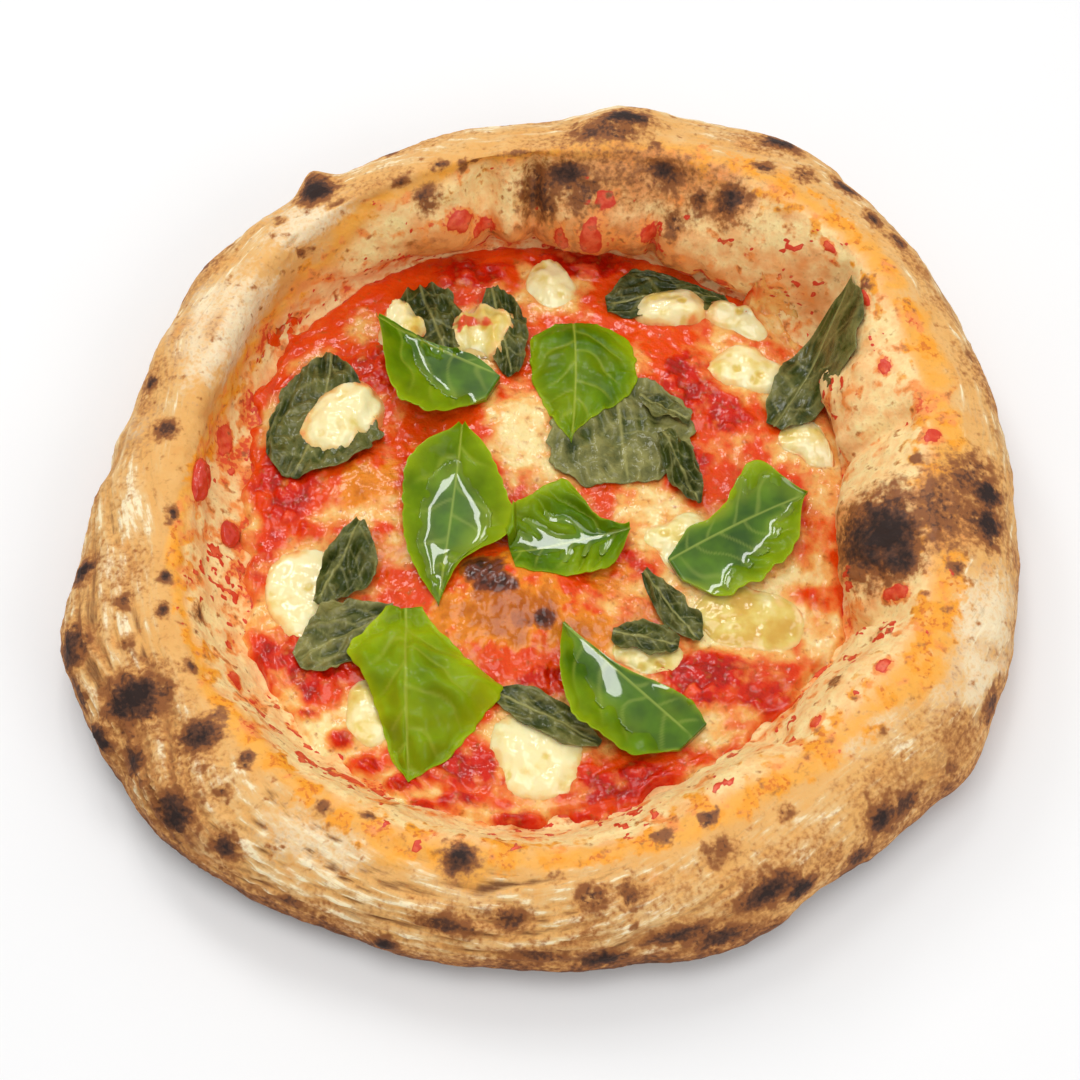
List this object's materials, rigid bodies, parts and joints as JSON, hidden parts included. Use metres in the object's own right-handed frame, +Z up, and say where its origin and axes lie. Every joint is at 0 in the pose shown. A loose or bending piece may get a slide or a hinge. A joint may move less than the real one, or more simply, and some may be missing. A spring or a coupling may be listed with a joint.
{
  "type": "margherita pizza",
  "caption": "Whole baked margherita pizza with a puffed, charred rim, crushed tomato, melted mozzarella pools and basil leaves.",
  "frame": {"origin": "centre of the pizza's box in plan, at the underside that rests on the table", "axes": "+Z up, +X to the right and +Y away from a diner in front of the pizza"},
  "size_m": [0.288, 0.289, 0.0507],
  "materials": {
    "dough": "baked, floury, with char",
    "tomato": "wet and glossy",
    "mozzarella": "melted, soft gloss",
    "basil_baked": "baked dry, with oil",
    "basil_fresh": "waxy, with oil"
  },
  "bodies": {
    "root": {"basil_baked_back": "basil_baked", "basil_baked_back_left": "basil_baked", "basil_baked_back_left_strip": "basil_baked", "basil_baked_centre": "basil_baked", "basil_baked_front_strip": "basil_baked", "basil_baked_leaning": "basil_baked", "basil_baked_left": "basil_baked", "basil_baked_left_fold": "basil_baked", "basil_baked_left_low": "basil_baked", "basil_baked_right_scrap": "basil_baked", "basil_baked_right_strip": "basil_baked", "basil_fresh_back": "basil_fresh", "basil_fresh_back_left": "basil_fresh", "basil_fresh_front_left": "basil_fresh", "basil_fresh_front_right": "basil_fresh", "basil_fresh_left": "basil_fresh", "basil_fresh_middle": "basil_fresh", "basil_fresh_right": "basil_fresh", "crust": "dough", "mozzarella_back": "mozzarella", "mozzarella_back_left": "mozzarella", "mozzarella_back_right": "mozzarella", "mozzarella_centre": "mozzarella", "mozzarella_far_left": "mozzarella", "mozzarella_front": "mozzarella", "mozzarella_front_left": "mozzarella", "mozzarella_front_right": "mozzarella", "mozzarella_left": "mozzarella", "mozzarella_on_leaf_back": "mozzarella", "mozzarella_on_leaf_left": "mozzarella", "mozzarella_right": "mozzarella", "mozzarella_right_lower": "mozzarella", "mozzarella_right_upper": "mozzarella", "tomato_piece_large": "tomato", "tomato_piece_small": "tomato", "tomato_sauce": "tomato"}
  },
  "joints": []
}
